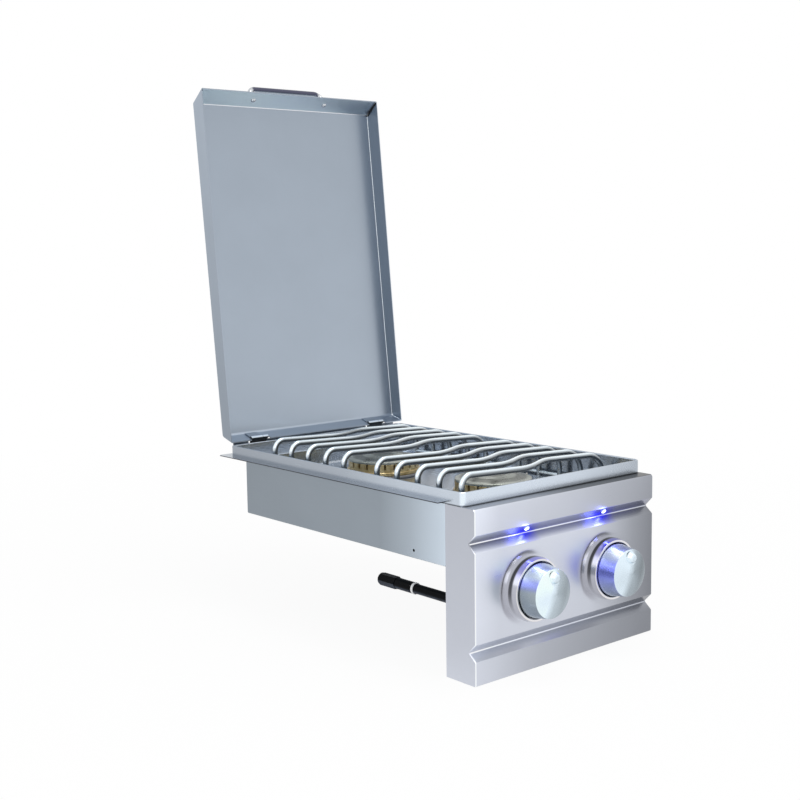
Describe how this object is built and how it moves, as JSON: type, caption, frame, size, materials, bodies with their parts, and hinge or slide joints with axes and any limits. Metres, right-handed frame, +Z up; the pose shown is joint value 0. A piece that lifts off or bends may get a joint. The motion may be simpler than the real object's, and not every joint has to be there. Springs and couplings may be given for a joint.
{
  "type": "built in side burner",
  "caption": "Built in double side burner: folded steel panel with push and turn knobs, raised pan, ring burners, wavy bar grates and a hinged lid with a bar handle.",
  "frame": {"origin": "middle of the rear counter flange's underside, where the unit rests on the counter", "axes": "+X to the user's right, +Y away from the control panel towards the lid, +Z up"},
  "size_m": [0.375, 0.6854, 0.8144],
  "materials": {
    "panel_steel": "brushed across",
    "pan_steel": "satin",
    "body_steel": "satin",
    "lid_steel": "fine brushed",
    "grate_steel": "polished bars",
    "polished_steel": "polished",
    "bezel_chrome": "polished",
    "knob_metal": "radially brushed",
    "cast_aluminium": "cast",
    "burner_brass": "machined",
    "cap_steel": "satin",
    "black_pipe": "semi gloss black",
    "black_plastic": "matte",
    "white_plastic": "matte",
    "white_ceramic": "glazed",
    "blue_lens": "lit blue lens"
  },
  "bodies": {
    "root": {"control_panel": "panel_steel", "top_pan": "pan_steel", "burner_box": "body_steel", "spark_module": "black_plastic", "manifold_pipe": "black_pipe", "inlet_seal_ring": "white_plastic", "inlet_sleeve": "black_pipe", "inlet_nut": "black_pipe", "left_hinge_bracket": "body_steel", "right_hinge_bracket": "body_steel", "left_hinge_pin": "polished_steel", "right_hinge_pin": "polished_steel", "left_panel_bracket": "body_steel", "right_panel_bracket": "body_steel", "left_knob_bezel": "bezel_chrome", "right_knob_bezel": "bezel_chrome", "left_valve_body": "cast_aluminium", "right_valve_body": "cast_aluminium", "left_lamp_lens": "blue_lens", "right_lamp_lens": "blue_lens", "left_lamp_socket": "black_plastic", "right_lamp_socket": "black_plastic", "front_burner_base": "cast_aluminium", "rear_burner_base": "cast_aluminium", "front_burner_ring": "burner_brass", "rear_burner_ring": "burner_brass", "front_igniter": "white_ceramic", "rear_igniter": "white_ceramic", "front_gas_tube": "cast_aluminium", "rear_gas_tube": "cast_aluminium"},
    "lid": {"lid_shell": "lid_steel", "lid_handle": "polished_steel", "left_handle_screw": "polished_steel", "right_handle_screw": "polished_steel", "left_lid_hinge_leaf": "body_steel", "right_lid_hinge_leaf": "body_steel"},
    "left_plug": {"left_valve_plug": "burner_brass"},
    "left_knob_set": {"left_valve_stem": "polished_steel", "left_knob": "knob_metal"},
    "right_plug": {"right_valve_plug": "burner_brass"},
    "right_knob_set": {"right_valve_stem": "polished_steel", "right_knob": "knob_metal"},
    "front_cap": {"front_burner_cap": "cap_steel"},
    "rear_cap": {"rear_burner_cap": "cap_steel"},
    "front_grate_set": {"front_grate": "grate_steel"},
    "rear_grate_set": {"rear_grate": "grate_steel"}
  },
  "joints": [
    {"name": "lid_hinge", "type": "hinge", "parent": "root", "child": "lid", "pos_m": [0, -0.00765, 0.0237], "axis": [-1, 0, 0], "range_deg": [-95.7, 0]},
    {"name": "left_knob_turn", "type": "hinge", "parent": "root", "child": "left_plug", "pos_m": [-0.076, -0.55, -0.12], "axis": [0, -1, 0], "range_deg": [0, 210]},
    {"name": "left_knob_push", "type": "slide", "parent": "left_plug", "child": "left_knob_set", "axis": [0, 1, 0], "range_m": [0, 0.004], "stiffness_N_per_m": 500},
    {"name": "right_knob_turn", "type": "hinge", "parent": "root", "child": "right_plug", "pos_m": [0.076, -0.55, -0.12], "axis": [0, -1, 0], "range_deg": [0, 210]},
    {"name": "right_knob_push", "type": "slide", "parent": "right_plug", "child": "right_knob_set", "axis": [0, 1, 0], "range_m": [0, 0.004], "stiffness_N_per_m": 500},
    {"name": "front_grate_lift", "type": "slide", "parent": "root", "child": "front_grate_set", "axis": [0, 0, 1], "range_m": [0, 0.06]},
    {"name": "rear_grate_lift", "type": "slide", "parent": "root", "child": "rear_grate_set", "axis": [0, 0, 1], "range_m": [0, 0.06]},
    {"name": "front_cap_lift", "type": "slide", "parent": "root", "child": "front_cap", "axis": [0, 0, 1], "range_m": [0, 0.012]},
    {"name": "rear_cap_lift", "type": "slide", "parent": "root", "child": "rear_cap", "axis": [0, 0, 1], "range_m": [0, 0.012]}
  ]
}
